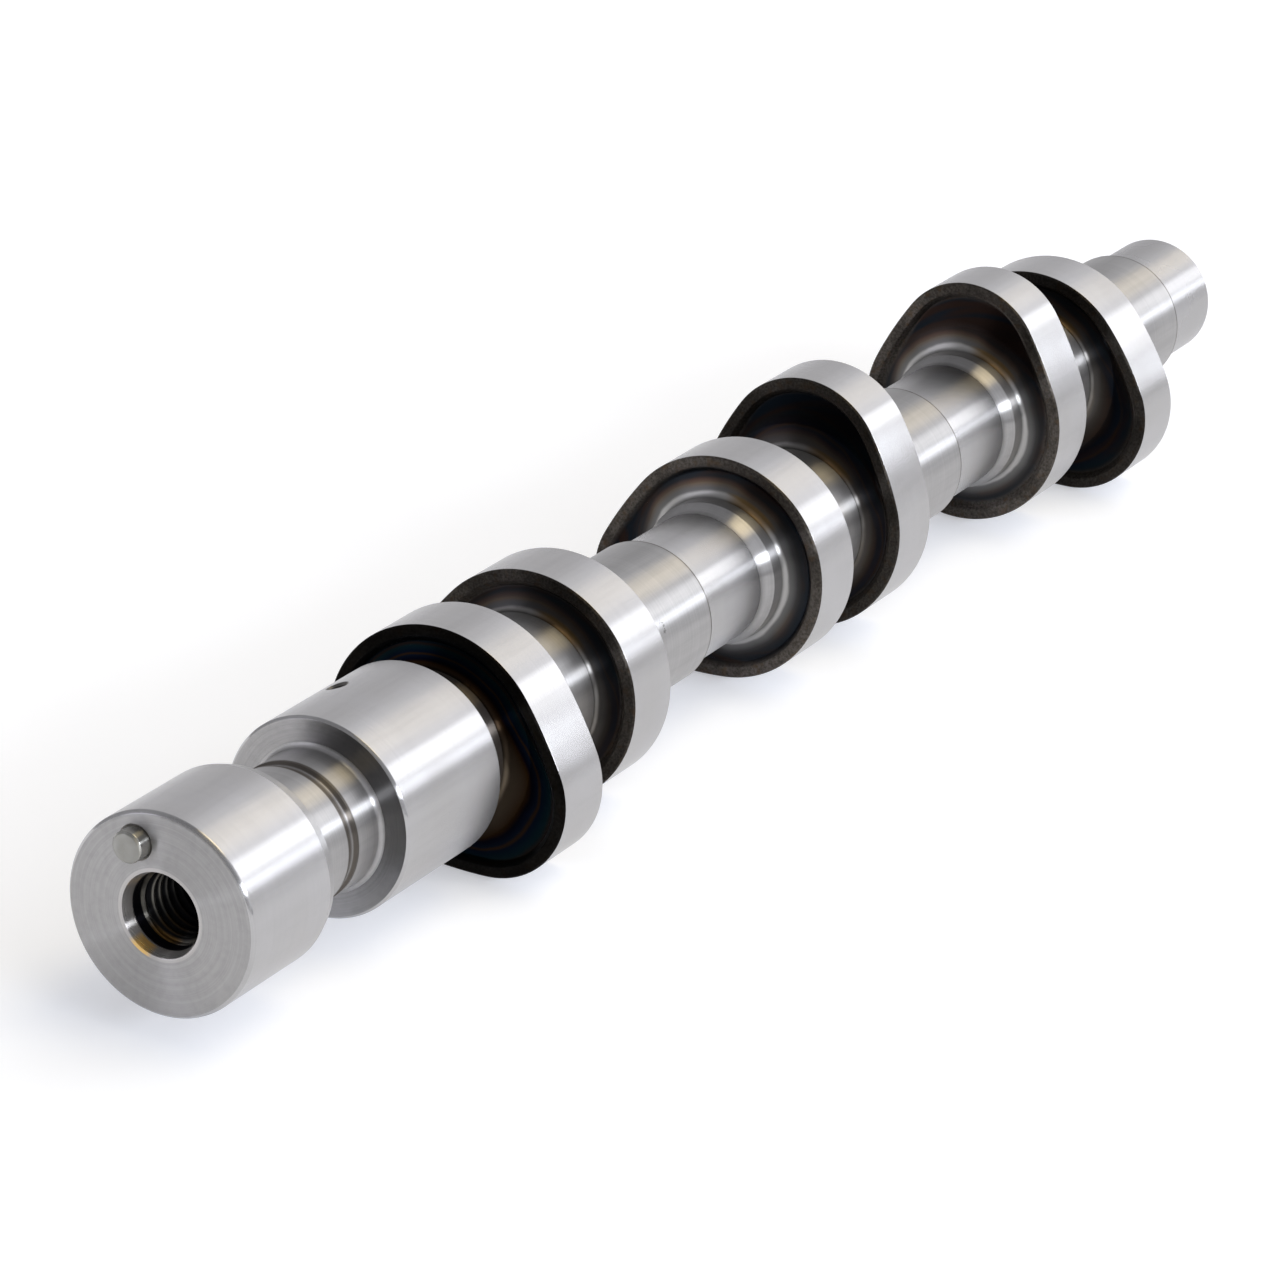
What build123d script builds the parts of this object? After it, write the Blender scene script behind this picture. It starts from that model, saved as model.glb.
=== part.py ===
from build123d import *
import math
import os

# A camshaft for a bank of three cylinders, with two cams to a cylinder, lying as it comes to rest on its cams.
# The origin is the centre of the nose's end face. +X runs along the shaft, from the nose to the rear end.
# +Z is up. Angles round the shaft are in degrees about +X, from +Y towards +Z. Lengths are in millimetres.

# Nose, which the timing sprocket is clamped to
nose_radius = 15.9
nose_length = 22.4
nose_edge = 0.5
nose_relief_length = 2.3
nose_relief_drop = 0.8

# Neck between the nose and the front journal
neck_radius = 11.15
neck_length = 19.0
neck_groove_from_nose = 10.7
neck_groove_width = 1.9
neck_groove_depth = 0.5
neck_fillet = 0.8

# Front journal, with its oil hole
front_journal_radius = 16.0
front_journal_length = 26.7
front_journal_edge = 0.4
oil_hole_from_front = 14.5
oil_hole_angle = 67.0
oil_hole_radius = 1.5
oil_hole_mouth = 0.4

# Cams: each cylinder has a front cam and a rear cam
cylinders = 3
cylinder_pitch = 90.5
first_cam_gap = 6.8
cam_spacing = 28.1
cam_width = 11.8
cam_edge = 0.3
first_cam_angle = 210.0
cylinder_angle = 120.0
rear_cam_lag = 120.0
base_radius = 19.3
front_cam_lift = 5.6
front_cam_nose_radius = 14.1
front_cam_flank_radius = 70.0
rear_cam_lift = 5.7
rear_cam_nose_radius = 14.8
rear_cam_flank_radius = 55.0

# Sides of the cams: a flat rim, a sloped wall, a shallow dish and a hub that rises to the shaft
rim_width = 1.9
dish_depth = 1.0
dish_slope = 0.8
hub_radius = 16.4
front_hub_rise = 0.1
rear_hub_rise = 0.6
hub_fillet = 1.0

# Shaft between the cams, and the middle bearing journals
web_radius = 12.7
spacer_radius = 12.3
spacer_edge = 0.25
journal_radius = 11.25
journal_length = 19.0
land_radius = 12.3
land_length = 3.2
lead_length = 2.2
journal_fillet = 3.0

# Rear end
rear_spacer_length = 26.6
rear_journal_radius = 11.0
rear_journal_length = 17.2
rear_edge = 0.5
centre_hole_radius = 3.2
centre_hole_slope = 60.0

# Tapped hole in the nose: a cone, a relief, a lead-in and the thread's core, then the oil gallery
mouth_radius = 6.6
mouth_depth = 2.0
relief_radius = 6.05
relief_depth = 2.0
thread_core_radius = 5.1
thread_lead_slope = 60.0
thread_length = 30.0
gallery_radius = 3.0
gallery_past_oil_hole = 4.0
drill_point = 118.0

# Dowel pin, pressed into the nose's end face
dowel_radius = 2.5
dowel_circle_radius = 11.2
dowel_angle = 66.0
dowel_proud = 2.5
dowel_seat = 9.5
dowel_edge = 0.4
dowel_hole_spare = 1.0
dowel_hole_mouth = 0.35

# Stations along the shaft that several parts share
neck_end = nose_length + neck_length
front_journal_end = neck_end + front_journal_length
first_cam = front_journal_end + first_cam_gap
last_cam_end = first_cam + (cylinders - 1) * cylinder_pitch + cam_spacing + cam_width
rear_journal_start = last_cam_end + rear_spacer_length
shaft_length = rear_journal_start + rear_journal_length
oil_hole_x = neck_end + oil_hole_from_front


def cone_height(radius, included_angle):
    """Height of a cone of that base radius and full angle at its tip."""
    return radius / math.tan(math.radians(included_angle / 2))


def turned(points):
    """Solid turned about X from its outline, a list of (x, radius) with both ends on the axis."""
    outline = Polyline(*[(x, 0, radius) for x, radius in points], close=True)
    return revolve(make_face(outline), Axis.X)


def round_edges(solid, x, radius, size):
    """Fillets the round edges of that radius at that station along the shaft."""
    edges = [
        edge
        for edge in solid.edges().filter_by(GeomType.CIRCLE)
        if abs(edge.center(CenterOf.BOUNDING_BOX).X - x) < 0.01 and abs(edge.radius - radius) < 0.01
    ]
    return fillet(edges, size)


def shaft_core():
    """Everything of the shaft that is round: nose, neck, journals, webs and rear end."""
    groove = nose_length + neck_groove_from_nose
    groove_end = groove + neck_groove_width
    points = [
        (0, 0),
        (0, nose_radius - nose_edge),
        (nose_edge, nose_radius),
        (nose_length - nose_relief_length, nose_radius),
        (nose_length, nose_radius - nose_relief_drop),
        (nose_length, neck_radius),
        (groove, neck_radius),
        (groove, neck_radius - neck_groove_depth),
        (groove_end - neck_groove_depth, neck_radius - neck_groove_depth),
        (groove_end, neck_radius),
        (neck_end, neck_radius),
        (neck_end, front_journal_radius - front_journal_edge),
        (neck_end + front_journal_edge, front_journal_radius),
        (front_journal_end - front_journal_edge, front_journal_radius),
        (front_journal_end, front_journal_radius - front_journal_edge),
        (front_journal_end, web_radius),
    ]
    for cylinder in range(cylinders):
        front_cam = first_cam + cylinder * cylinder_pitch
        cams_end = front_cam + cam_spacing + cam_width
        points.append((cams_end - cam_width / 2, web_radius))
        points.append((cams_end - cam_width / 2, spacer_radius))
        if cylinder < cylinders - 1:
            next_cam = front_cam + cylinder_pitch
            land_start = next_cam - land_length
            journal_end = land_start - lead_length
            spacer_end = journal_end - journal_length
            points += [
                (spacer_end - spacer_edge, spacer_radius),
                (spacer_end, spacer_radius - spacer_edge),
                (spacer_end, journal_radius),
                (journal_end, journal_radius),
                (land_start, land_radius),
                (next_cam + cam_width / 2, land_radius),
                (next_cam + cam_width / 2, web_radius),
            ]
    points += [
        (rear_journal_start - spacer_edge, spacer_radius),
        (rear_journal_start, spacer_radius - spacer_edge),
        (rear_journal_start, rear_journal_radius),
        (shaft_length - rear_edge, rear_journal_radius),
        (shaft_length, rear_journal_radius - rear_edge),
        (shaft_length, 0),
    ]
    core = turned(points)
    core = round_edges(core, nose_length, neck_radius, neck_fillet)
    core = round_edges(core, neck_end, neck_radius, neck_fillet)
    for cylinder in range(1, cylinders):
        journal_end = first_cam + cylinder * cylinder_pitch - land_length - lead_length
        core = round_edges(core, journal_end, journal_radius, journal_fillet)
    return core


def cam_outline(lift, tip_radius, flank_radius, inset):
    """Outline of a cam whose tip points along +X in its own plane, with all its arcs set in by one distance."""
    tip_centre = base_radius + lift - tip_radius
    base_reach = flank_radius - base_radius
    tip_reach = flank_radius - tip_radius
    flank_x = (base_reach**2 - tip_reach**2 + tip_centre**2) / (2 * tip_centre)
    flank_y = math.sqrt(base_reach**2 - flank_x**2)
    base_turn = math.degrees(math.atan2(flank_y, -flank_x))
    tip_turn = math.degrees(math.atan2(flank_y, tip_centre - flank_x))
    base_arc = CenterArc((0, 0), base_radius - inset, base_turn, 360 - 2 * base_turn)
    lower_flank = CenterArc((flank_x, flank_y), flank_radius - inset, -base_turn, base_turn - tip_turn)
    tip_arc = CenterArc((tip_centre, 0), tip_radius - inset, -tip_turn, 2 * tip_turn)
    upper_flank = CenterArc((flank_x, -flank_y), flank_radius - inset, tip_turn, base_turn - tip_turn)
    return make_face([base_arc, lower_flank, tip_arc, upper_flank])


def across(x, turn):
    """Place in the plane across the shaft at x, with the plane's own +X turned to that angle round the shaft."""
    return Location((x, 0, 0)) * Rotation(turn, 0, 0) * Rotation(0, 90, 0) * Rotation(0, 0, 90)


def cam(x, turn, lift, tip_radius, flank_radius, hub_rise, front_shaft, rear_shaft):
    """One cam with its front face at x and its tip at that angle, dished on both sides round its hubs."""

    def outline(station, inset):
        return across(station, turn) * cam_outline(lift, tip_radius, flank_radius, inset)

    body = extrude(outline(x, 0), cam_width, dir=(1, 0, 0))
    body = chamfer(body.faces().filter_by(Axis.X).edges(), cam_edge)
    hubs = []
    for side, into, shaft_radius in ((x, 1, front_shaft), (x + cam_width, -1, rear_shaft)):
        floor = side + into * dish_depth
        body -= loft([outline(side, rim_width), outline(floor, rim_width + dish_slope)], ruled=True)
        top = side - into * hub_rise
        hubs.append(turned([(top, 0), (top, shaft_radius), (floor, hub_radius), (floor, 0)]))
    return body + hubs


def tapped_hole():
    """The nose's centre hole: cone, relief, thread core and the oil gallery that meets the journal's oil hole."""
    relief_end = mouth_depth + relief_depth
    thread_start = relief_end + cone_height(relief_radius - thread_core_radius, thread_lead_slope)
    thread_end = thread_start + thread_length
    core_point = thread_end + cone_height(thread_core_radius - gallery_radius, drill_point)
    gallery_end = oil_hole_x + gallery_past_oil_hole
    return turned(
        [
            (0, 0),
            (0, mouth_radius),
            (mouth_depth, relief_radius),
            (relief_end, relief_radius),
            (thread_start, thread_core_radius),
            (thread_end, thread_core_radius),
            (core_point, gallery_radius),
            (gallery_end, gallery_radius),
            (gallery_end + cone_height(gallery_radius, drill_point), 0),
        ]
    )


def round_the_shaft(x, angle):
    """Place at a station on the axis, with +Z pointing outwards at that angle round the shaft."""
    return Location((x, 0, 0)) * Rotation(angle - 90, 0, 0)


def oil_hole():
    """Radial hole from the front journal's surface down to the gallery, with a countersunk mouth."""
    depth = front_journal_radius
    bore = Pos(0, 0, depth / 2) * Cylinder(oil_hole_radius, depth)
    mouth = Pos(0, 0, depth - oil_hole_mouth / 2) * Cone(
        oil_hole_radius, oil_hole_radius + oil_hole_mouth, oil_hole_mouth
    )
    return round_the_shaft(oil_hole_x, oil_hole_angle) * (bore + mouth)


def dowel_place():
    """The dowel's place on the nose's end face, with its own +Z pointing out of the face."""
    return round_the_shaft(0, dowel_angle) * Pos(0, 0, dowel_circle_radius) * Rotation(0, -90, 0)


def dowel_hole():
    """Blind hole that the dowel is pressed into, line to line, with a countersunk mouth and a drill's point."""
    depth = dowel_seat + dowel_hole_spare
    point = cone_height(dowel_radius, drill_point)
    bore = Pos(0, 0, -depth / 2) * Cylinder(dowel_radius, depth)
    tip = Pos(0, 0, -depth - point / 2) * Cone(0, dowel_radius, point)
    mouth = Pos(0, 0, -dowel_hole_mouth / 2) * Cone(
        dowel_radius, dowel_radius + dowel_hole_mouth, dowel_hole_mouth
    )
    return dowel_place() * (bore + tip + mouth)


def centre_hole():
    """Conical centre hole in the rear end face, which the shaft is turned and ground on."""
    depth = cone_height(centre_hole_radius, centre_hole_slope)
    return turned([(shaft_length - depth, 0), (shaft_length, centre_hole_radius), (shaft_length, 0)])


def make_camshaft():
    """The whole shaft as one solid."""
    shaft = shaft_core()
    for cylinder in range(cylinders):
        front_x = first_cam + cylinder * cylinder_pitch
        rear_x = front_x + cam_spacing
        front_turn = first_cam_angle + cylinder * cylinder_angle
        rear_turn = front_turn + rear_cam_lag
        land = web_radius if cylinder == 0 else land_radius
        front_form = (front_cam_lift, front_cam_nose_radius, front_cam_flank_radius, front_hub_rise)
        rear_form = (rear_cam_lift, rear_cam_nose_radius, rear_cam_flank_radius, rear_hub_rise)
        shaft += cam(front_x, front_turn, *front_form, land, web_radius)
        shaft += cam(rear_x, rear_turn, *rear_form, web_radius, spacer_radius)
        shaft = round_edges(shaft, front_x - front_hub_rise, land, hub_fillet)
        shaft = round_edges(shaft, front_x + cam_width + front_hub_rise, web_radius, hub_fillet)
        shaft = round_edges(shaft, rear_x - rear_hub_rise, web_radius, hub_fillet)
        shaft = round_edges(shaft, rear_x + cam_width + rear_hub_rise, spacer_radius, hub_fillet)
    return shaft - tapped_hole() - oil_hole() - dowel_hole() - centre_hole()


def make_dowel_pin():
    """Straight pin with a chamfer at each end."""
    pin = Pos(0, 0, (dowel_proud - dowel_seat) / 2) * Cylinder(dowel_radius, dowel_proud + dowel_seat)
    pin = chamfer(pin.edges().filter_by(GeomType.CIRCLE), dowel_edge)
    return dowel_place() * pin


os.makedirs("parts", exist_ok=True)
export_step(make_camshaft(), "parts/camshaft.step")
export_step(make_dowel_pin(), "parts/dowel_pin.step")
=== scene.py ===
"""A camshaft for three cylinders, in ground, turned, hardened and heat-tinted steel."""

import functools
import math

import bmesh
import bpy
import numpy as np
from mathutils import Matrix, Vector


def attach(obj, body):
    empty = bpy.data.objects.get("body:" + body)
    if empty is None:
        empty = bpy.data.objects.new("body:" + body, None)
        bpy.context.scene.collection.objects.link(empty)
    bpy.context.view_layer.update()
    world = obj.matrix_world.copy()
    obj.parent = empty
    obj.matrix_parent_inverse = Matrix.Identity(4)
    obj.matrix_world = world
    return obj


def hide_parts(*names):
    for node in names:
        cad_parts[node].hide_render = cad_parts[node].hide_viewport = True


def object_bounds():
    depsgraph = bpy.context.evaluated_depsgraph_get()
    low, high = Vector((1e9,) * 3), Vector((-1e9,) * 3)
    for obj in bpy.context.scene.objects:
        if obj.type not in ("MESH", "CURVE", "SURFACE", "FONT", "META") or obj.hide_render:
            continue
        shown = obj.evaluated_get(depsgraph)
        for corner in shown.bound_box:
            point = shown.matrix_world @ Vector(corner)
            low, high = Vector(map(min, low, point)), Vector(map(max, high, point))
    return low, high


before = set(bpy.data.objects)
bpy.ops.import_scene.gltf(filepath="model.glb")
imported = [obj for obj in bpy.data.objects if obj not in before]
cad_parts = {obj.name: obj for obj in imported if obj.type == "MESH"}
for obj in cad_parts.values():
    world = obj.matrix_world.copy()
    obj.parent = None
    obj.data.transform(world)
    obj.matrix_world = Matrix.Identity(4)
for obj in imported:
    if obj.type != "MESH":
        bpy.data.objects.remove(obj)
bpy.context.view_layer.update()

# Lengths below are in millimetres and angles in degrees, as in the part's source. The mesh is made in metres.
MM = 0.001

# Nose, neck and front journal
nose_radius = 15.9
nose_length = 22.4
nose_edge = 0.5
nose_relief_length = 2.3
nose_relief_drop = 0.8
neck_radius = 11.15
neck_length = 19.0
neck_groove_from_nose = 10.7
neck_groove_width = 1.9
neck_groove_depth = 0.5
neck_fillet = 0.8
front_journal_radius = 16.0
front_journal_length = 26.7
front_journal_edge = 0.4
oil_hole_from_front = 14.5
oil_hole_angle = 67.0
oil_hole_radius = 1.5
oil_hole_mouth = 0.4

# Cams. A form is a cam's lift, tip radius and flank radius
cylinders = 3
cylinder_pitch = 90.5
first_cam_gap = 6.8
cam_spacing = 28.1
cam_width = 11.8
cam_edge = 0.3
first_cam_angle = 210.0
cylinder_angle = 120.0
rear_cam_lag = 120.0
base_radius = 19.3
front_form = (5.6, 14.1, 70.0)
rear_form = (5.7, 14.8, 55.0)
rim_width = 1.9
dish_depth = 1.0
dish_slope = 0.8
hub_radius = 16.4
front_hub_rise = 0.1
rear_hub_rise = 0.6
hub_fillet = 1.0

# Shaft between the cams, and its rear end
web_radius = 12.7
spacer_radius = 12.3
spacer_edge = 0.25
journal_radius = 11.25
journal_length = 19.0
land_radius = 12.3
land_length = 3.2
lead_length = 2.2
journal_fillet = 3.0
rear_spacer_length = 26.6
rear_journal_radius = 11.0
rear_journal_length = 17.2
rear_edge = 0.5
centre_hole_radius = 3.2
centre_hole_slope = 60.0

# Tapped hole in the nose, and the oil gallery behind it
mouth_radius = 6.6
mouth_depth = 2.0
mouth_lip = 0.6
relief_radius = 6.05
relief_depth = 2.0
thread_core_radius = 5.1
thread_root_radius = 6.0
thread_pitch = 1.75
thread_crest_share = 0.68
thread_corner = 0.05
thread_lead_slope = 60.0
thread_length = 30.0
gallery_radius = 3.0
gallery_past_oil_hole = 4.0
drill_point = 118.0

# Dowel pin
dowel_radius = 2.5
dowel_circle_radius = 11.2
dowel_angle = 66.0
dowel_proud = 2.5
dowel_seat = 9.5
dowel_edge = 0.4
dowel_hole_spare = 1.0
dowel_hole_mouth = 0.35
dowel_y = dowel_circle_radius * math.cos(math.radians(dowel_angle))
dowel_z = dowel_circle_radius * math.sin(math.radians(dowel_angle))

# How finely the surfaces are divided
columns = 160
bore_columns = 80
dowel_columns = 64
round_step = math.radians(20.0)
floor_rings = 4

# Grids with a window for a hole: rows, first and last column, and half the length of those along the shaft
end_face_rows = 12
end_face_window = (21, 38)
gallery_rows = 8
gallery_window = (7, 23)
gallery_window_reach = 2.1
journal_rows = 14
journal_window = (25, 35)
journal_window_reach = 2.8

# Stations along the shaft
neck_end = nose_length + neck_length
front_journal_end = neck_end + front_journal_length
first_cam = front_journal_end + first_cam_gap
last_cam_end = first_cam + (cylinders - 1) * cylinder_pitch + cam_spacing + cam_width
rear_journal_start = last_cam_end + rear_spacer_length
shaft_length = rear_journal_start + rear_journal_length
oil_hole_x = neck_end + oil_hole_from_front
groove_start = nose_length + neck_groove_from_nose
groove_end = groove_start + neck_groove_width

# How light each cam's hub and rim are, and how far its scaled rim reaches further in
side_tints = (
    (0.0, 0.08, 0.0),
    (0.5, 0.60, 0.9),
    (1.0, 1.00, 0.0),
    (0.4, 0.48, 0.7),
    (1.0, 0.90, 0.8),
    (0.5, 0.36, 0.7),
)

# Small dark nicks on the first spacer and at its step, as (place along the shaft, angle)
nick_places = ((126.1, 150.5), (126.4, 154.0), (126.2, 157.5), (141.3, 162.0))
nick_core = 0.10
nick_edge = 0.40

# The photograph's camera, in metres, and the floor's size and own light for it
camera_place = (-0.61235, -0.39964, 0.35205)
camera_right = (0.4908, -0.8692, 0.0608)
camera_forward = (0.8146, 0.4330, -0.3861)
camera_lens = 159.9
floor_half = 6.0
floor_gap = 0.00002
floor_lift = 0.33

GROUND, TURNED, FACE, SIDE, BORE, THREAD = range(6)


def turns(count):
    """Angles of that many columns round the shaft, in radians."""
    return np.arange(count) * 2 * math.pi / count


def cone_height(radius, included_angle):
    """Height of a cone of that base radius and full angle at its tip."""
    return radius / math.tan(math.radians(included_angle / 2))


def rounded(*points):
    """The outline through points of (place, reach, round), with an arc of that radius at each inner point."""
    outline = [Vector(points[0][:2])]
    for before, here, after in zip(points, points[1:], points[2:]):
        corner = Vector(here[:2])
        back = (Vector(before[:2]) - corner).normalized()
        ahead = (Vector(after[:2]) - corner).normalized()
        turn = math.pi - back.angle(ahead)
        if here[2] == 0 or turn < 1e-4:
            outline.append(corner)
            continue
        reach = here[2] * math.tan(turn / 2)
        start = corner + back * reach
        end = corner + ahead * reach
        steps = max(2, round(turn / round_step))
        for step in range(steps + 1):
            t = step / steps
            weights = ((1 - t) ** 2, 2 * t * (1 - t) * math.cos(turn / 2), t**2)
            blend = start * weights[0] + corner * weights[1] + end * weights[2]
            outline.append(blend / sum(weights))
    outline.append(Vector(points[-1][:2]))
    return outline


def cam_reach(form, turn, inset, angles):
    """Radius of a cam's outline in each direction round the shaft, with its arcs set in by that distance."""
    lift, tip_radius, flank_radius = form
    tip_centre = base_radius + lift - tip_radius
    base_reach = flank_radius - base_radius
    tip_reach = flank_radius - tip_radius
    flank_x = (base_reach**2 - tip_reach**2 + tip_centre**2) / (2 * tip_centre)
    flank_y = math.sqrt(base_reach**2 - flank_x**2)
    base_turn = math.atan2(flank_y, -flank_x)
    tip_turn = math.atan2(flank_y, tip_centre - flank_x)
    off_tip = np.abs((angles - math.radians(turn) + math.pi) % (2 * math.pi) - math.pi)
    c = np.cos(off_tip)
    s = np.sin(off_tip)
    flank_along = c * flank_x - s * flank_y
    flank_aside = c * flank_y + s * flank_x
    on_flank = flank_along + np.sqrt(np.maximum((flank_radius - inset) ** 2 - flank_aside**2, 0))
    on_tip = c * tip_centre + np.sqrt(np.maximum((tip_radius - inset) ** 2 - (s * tip_centre) ** 2, 0))
    tip_side = (tip_radius - inset) * math.sin(tip_turn)
    tip_edge = math.atan2(tip_side, tip_centre + (tip_radius - inset) * math.cos(tip_turn))
    reach = np.where(off_tip > tip_edge, on_flank, on_tip)
    return np.where(off_tip >= base_turn, base_radius - inset, reach)


def cam_list():
    """Each cam as (front face's x, turn, form, hub rise, shaft radius in front, shaft radius behind)."""
    cams = []
    for cylinder in range(cylinders):
        front_x = first_cam + cylinder * cylinder_pitch
        front_turn = first_cam_angle + cylinder * cylinder_angle
        land = web_radius if cylinder == 0 else land_radius
        cams.append((front_x, front_turn, front_form, front_hub_rise, land, web_radius))
        rear_turn = front_turn + rear_cam_lag
        cams.append((front_x + cam_spacing, rear_turn, rear_form, rear_hub_rise, web_radius, spacer_radius))
    return cams


class Skin:
    """One closed surface, gathered ring by ring along an outline, with a finish for each face."""

    def __init__(self):
        self.points = []
        self.faces = []
        self.finishes = []

    def point(self, place):
        self.points.append(tuple(place))
        return len(self.points) - 1

    def ring(self, x, radius, count=columns):
        """A ring round the shaft, where x and radius may differ from column to column."""
        angles = turns(count)
        xs = np.broadcast_to(np.asarray(x, float), angles.shape)
        radii = np.broadcast_to(np.asarray(radius, float), angles.shape)
        return [self.point(place) for place in zip(xs, radii * np.cos(angles), radii * np.sin(angles))]

    def face(self, corners, finish):
        kept = [corner for i, corner in enumerate(corners) if corner != corners[i - 1]]
        if len(set(kept)) > 2:
            self.faces.append(kept)
            self.finishes.append(finish)

    def band(self, first, second, finish, skip=()):
        """Faces between two rings of as many points, but for the skipped columns."""
        for here in range(len(first)):
            after = (here + 1) % len(first)
            if here not in skip:
                self.face((first[here], first[after], second[after], second[here]), finish)

    def widen(self, few, many, finish):
        """Faces between a ring and one with twice as many points."""
        for here in range(len(few)):
            after = (here + 1) % len(few)
            far = (2 * here + 2) % len(many)
            self.face((few[here], many[2 * here + 1], many[2 * here]), finish)
            self.face((few[here], few[after], many[2 * here + 1]), finish)
            self.face((few[after], many[far], many[2 * here + 1]), finish)

    def fan(self, ring, tip, finish):
        """Faces from a ring to one point."""
        for here in range(len(ring)):
            self.face((ring[here], ring[(here + 1) % len(ring)], tip), finish)

    def run(self, last, outline, finish, count=columns):
        """Rings along an outline of (x, radius), each joined to the one before. Returns the last.

        The finish may be a function of (x, radius)."""
        for x, radius in outline:
            ring = self.ring(x, radius, count)
            self.band(last, ring, finish(x, radius) if callable(finish) else finish)
            last = ring
        return last

    def run_round(self, last, outline, window, finish, count=columns):
        """The same with a window left open between two columns. Returns the last and the window's loop."""
        stack = [self.ring(*outline[0], count)]
        join = self.band if len(last) == count else self.widen
        join(last, stack[0], finish)
        for x, radius in outline[1:]:
            ring = self.ring(x, radius, count)
            self.band(stack[-1], ring, finish, skip=range(*window))
            stack.append(ring)
        return stack[-1], window_loop(stack, *window)


def window_loop(rings, first, last):
    """Points round a window in a stack of rings, between two columns, in order."""
    loop = [rings[0][column] for column in range(first, last)]
    loop += [ring[last] for ring in rings[:-1]]
    loop += [rings[-1][column] for column in range(last, first, -1)]
    loop += [ring[first] for ring in reversed(rings[1:])]
    return loop


def hole_ring(skin, loop, to_local, to_place, reach, *place):
    """A ring with a point in line with each of a loop's, at the reach for its (bearing, way to it)."""
    ring = []
    for u, v in [to_local(skin.points[index]) for index in loop]:
        bearing = math.atan2(v, u)
        here = reach(bearing, math.hypot(u, v))
        ring.append(skin.point(to_place(here * math.cos(bearing), here * math.sin(bearing), *place)))
    return ring


def patch(skin, loop, to_local, to_place, edge, finish):
    """Fills a window from its loop to a hole's edge, and returns the edge's points."""
    last = loop
    for share in (0.35, 0.7, 1.0):

        def reach(bearing, far):
            return far * (1 - share) + edge(bearing) * share

        ring = hole_ring(skin, loop, to_local, to_place, reach)
        skin.band(last, ring, finish)
        last = ring
    return last


def radial_hole_maps(wall_radius):
    """Maps between places on a round wall and (along, round) from the oil hole's axis."""
    middle = math.radians(oil_hole_angle)

    def to_local(place):
        aside = -place[1] * math.sin(middle) + place[2] * math.cos(middle)
        return place[0] - oil_hole_x, aside

    def to_place(along, aside, height=None):
        height = height or math.sqrt(wall_radius**2 - aside**2)
        y = height * math.cos(middle) - aside * math.sin(middle)
        z = height * math.sin(middle) + aside * math.cos(middle)
        return oil_hole_x + along, y, z

    return to_local, to_place


def rows_over_hole(reach, rows, radius):
    """An outline of (x, radius) in even rows from one side of the oil hole to the other."""
    return [(oil_hole_x - reach + row * 2 * reach / rows, radius) for row in range(rows + 1)]


def oil_mouth_edge(bearing):
    """Reach of the oil hole's countersink where it meets the journal's round surface."""
    reach = oil_hole_radius
    for _ in range(6):
        height = math.sqrt(front_journal_radius**2 - (reach * math.sin(bearing)) ** 2)
        reach = oil_hole_radius + height - (front_journal_radius - oil_hole_mouth)
    return reach


def thread_rings():
    """Rows of a turn of thread as (place along the pitch, radius), with small rounds at its corners."""
    depth = thread_root_radius - thread_core_radius
    flank = depth * math.tan(math.radians(30))
    flats = thread_pitch - 2 * flank
    crest = flats * thread_crest_share
    soft = thread_corner
    return [
        (0.0, thread_core_radius + soft),
        (soft, thread_core_radius),
        (crest - soft, thread_core_radius),
        (crest, thread_core_radius + soft),
        (crest + flank - soft, thread_root_radius - soft),
        (crest + flank + soft, thread_root_radius),
        (thread_pitch - flank - soft, thread_root_radius),
        (thread_pitch - flank + soft, thread_root_radius - soft),
    ]


def add_thread(skin, last, thread_end, lead_start, thread_start):
    """The thread as a winding grid, from the core's end out to the lead-in. Returns its last ring."""
    rows = thread_rings()
    angles = turns(bore_columns)
    advance = thread_pitch * angles / (2 * math.pi)
    lead_fall = (relief_radius - thread_core_radius) / (thread_start - lead_start)
    grid = [last]
    owners = []
    base = thread_end
    step = 0
    while base > lead_start - thread_pitch:
        turn, row = divmod(step, len(rows))
        along, radius = rows[-1 - row]
        base = thread_end - turn * thread_pitch - (thread_pitch - along)
        xs = base + advance
        fade = np.clip((thread_end - xs) / thread_pitch, 0, 1)
        radii = thread_core_radius + (radius - thread_core_radius) * fade
        radii = np.maximum(radii, relief_radius - (xs - lead_start) * lead_fall)
        line = []
        for x, r, angle, start in zip(xs, radii, angles, last):
            if x >= thread_end:
                line.append(start)
            elif x <= lead_start:
                line.append(None)
            else:
                line.append(skin.point((x, r * math.cos(angle), r * math.sin(angle))))
        owners.append(line)
        step += 1
    end_ring = skin.ring(lead_start, relief_radius, bore_columns)
    for line in owners:
        grid.append([end if point is None else point for point, end in zip(line, end_ring)])
    lag = len(rows)
    closed = [line + [grid[max(here - lag, 0)][0]] for here, line in enumerate(grid)]
    for before, line in zip(closed, closed[1:]):
        for column in range(bore_columns):
            skin.face((before[column], before[column + 1], line[column + 1], line[column]), THREAD)
    for here in range(len(grid) - lag, len(grid)):
        skin.face((grid[here - 1][0], grid[here][0], end_ring[0]), THREAD)
    return end_ring


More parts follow.
